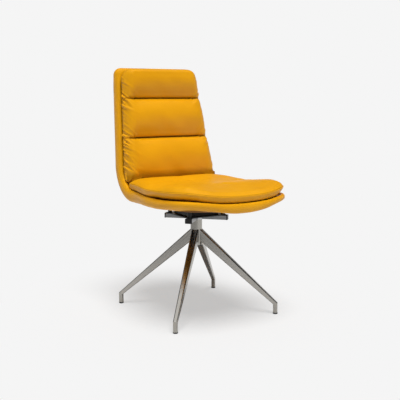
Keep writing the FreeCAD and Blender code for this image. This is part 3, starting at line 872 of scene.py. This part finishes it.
def make_floor():
    """Pale floor that keeps the shadow and fades into the background round the chair.

    The camera sees it fade from half to whole. Mirror rays see the background from further out,
    and dimmer toward -X.
    """
    bpy.ops.mesh.primitive_grid_add(x_subdivisions=2, y_subdivisions=2, size=FLOOR_SIZE)
    floor = bpy.context.object
    floor.name = "studio_floor"
    material, tree, shader = new_material("studio_floor")
    shader.inputs["Base Color"].default_value = (*FLOOR_COLOUR, 1.0)
    shader.inputs["Roughness"].default_value = 0.9
    shader.inputs["Specular IOR Level"].default_value = 0.0
    glow = tree.nodes.new("ShaderNodeEmission")
    glow.inputs["Color"].default_value = (*BACKGROUND, 1.0)
    distance = tree.nodes.new("ShaderNodeVectorMath")
    distance.operation = "LENGTH"
    tree.links.new(object_place(tree), distance.inputs[0])
    away = distance.outputs["Value"]
    mirror = seen_by(tree, MIRROR_RAYS)
    to_camera = combined(tree, "MULTIPLY", spread(tree, away, 0.30, 0.75, 0.50, 1.0),
                         seen_by(tree, CAMERA_RAYS))
    to_mirror = combined(tree, "MULTIPLY", spread(tree, away, 0.50, 1.10, 0.0, 1.0), mirror)
    sides = tree.nodes.new("ShaderNodeSeparateXYZ")
    tree.links.new(object_place(tree), sides.inputs["Vector"])
    one_side = spread(tree, sides.outputs["X"], -1.0, 0.3, 1.0, 0.0)
    dimmed = combined(tree, "MULTIPLY", one_side, mirror)
    tree.links.new(spread(tree, dimmed, 0.0, 1.0, 1.0, 0.50), glow.inputs["Strength"])
    shown = mixed(tree, combined(tree, "ADD", to_camera, to_mirror),
                  shader.outputs["BSDF"], glow.outputs["Emission"])
    tree.links.new(shown, tree.nodes["Material Output"].inputs["Surface"])
    dress(floor, material)


def make_world():
    """Even light all round. The camera sees the background.

    Mirror rays see the background low down, a dim ceiling over it and a bright patch overhead.
    """
    world = bpy.data.worlds.new("studio")
    bpy.context.scene.world = world
    world.use_nodes = True
    tree = world.node_tree
    lit = tree.nodes["Background"]
    lit.inputs["Color"].default_value = (1.0, 1.0, 1.0, 1.0)
    lit.inputs["Strength"].default_value = WORLD_STRENGTH
    shown = tree.nodes.new("ShaderNodeBackground")
    shown.inputs["Color"].default_value = (*BACKGROUND, 1.0)
    mirrored = tree.nodes.new("ShaderNodeBackground")
    split = tree.nodes.new("ShaderNodeSeparateXYZ")
    direction = tree.nodes.new("ShaderNodeTexCoord").outputs["Generated"]
    tree.links.new(direction, split.inputs["Vector"])
    rising = spread(tree, split.outputs["Z"], 0.12, 0.27, 0.0, 1.0)
    dim = blend_colour(tree, rising, BACKGROUND, DIM_CEILING)
    overhead = spread(tree, split.outputs["Z"], 0.78, 0.92, 0.0, 1.0)
    ceiling = blend_colour(tree, overhead, dim, OVERHEAD_PATCH)
    tree.links.new(ceiling, mirrored.inputs["Color"])
    lighting = mixed(tree, seen_by(tree, MIRROR_RAYS),
                     lit.outputs["Background"], mirrored.outputs["Background"])
    final = mixed(tree, seen_by(tree, CAMERA_RAYS), lighting, shown.outputs["Background"])
    tree.links.new(final, tree.nodes["World Output"].inputs["Surface"])


def make_lamp(azimuth, elevation, angle, strength):
    """Wide soft light from a direction, as from a large lamp far away, hidden from mirror rays."""
    light = bpy.data.lights.new("key", "SUN")
    light.angle = math.radians(angle)
    light.energy = strength
    turn, rise = math.radians(azimuth), math.radians(elevation)
    holder = aimed("key", light, (-math.cos(turn) * math.cos(rise),
                                  -math.sin(turn) * math.cos(rise), -math.sin(rise)))
    holder.visible_glossy = False


def make_camera():
    """Camera at the photograph's place."""
    camera = bpy.data.cameras.new("camera")
    camera.lens = FOCAL_PIXELS / PHOTO_WIDTH * SENSOR_WIDTH
    camera.sensor_width = SENSOR_WIDTH
    holder = aimed("camera", camera, (math.sin(CAMERA_HEADING) * math.cos(CAMERA_PITCH),
                                      math.cos(CAMERA_HEADING) * math.cos(CAMERA_PITCH),
                                      -math.sin(CAMERA_PITCH)))
    holder.location = CAMERA_PLACE
    bpy.context.scene.camera = holder


make_floor()
make_world()
make_lamp(azimuth=-106.0, elevation=72.0, angle=34.0, strength=3.40)
make_camera()

bpy.context.scene.view_settings.view_transform = "Standard"
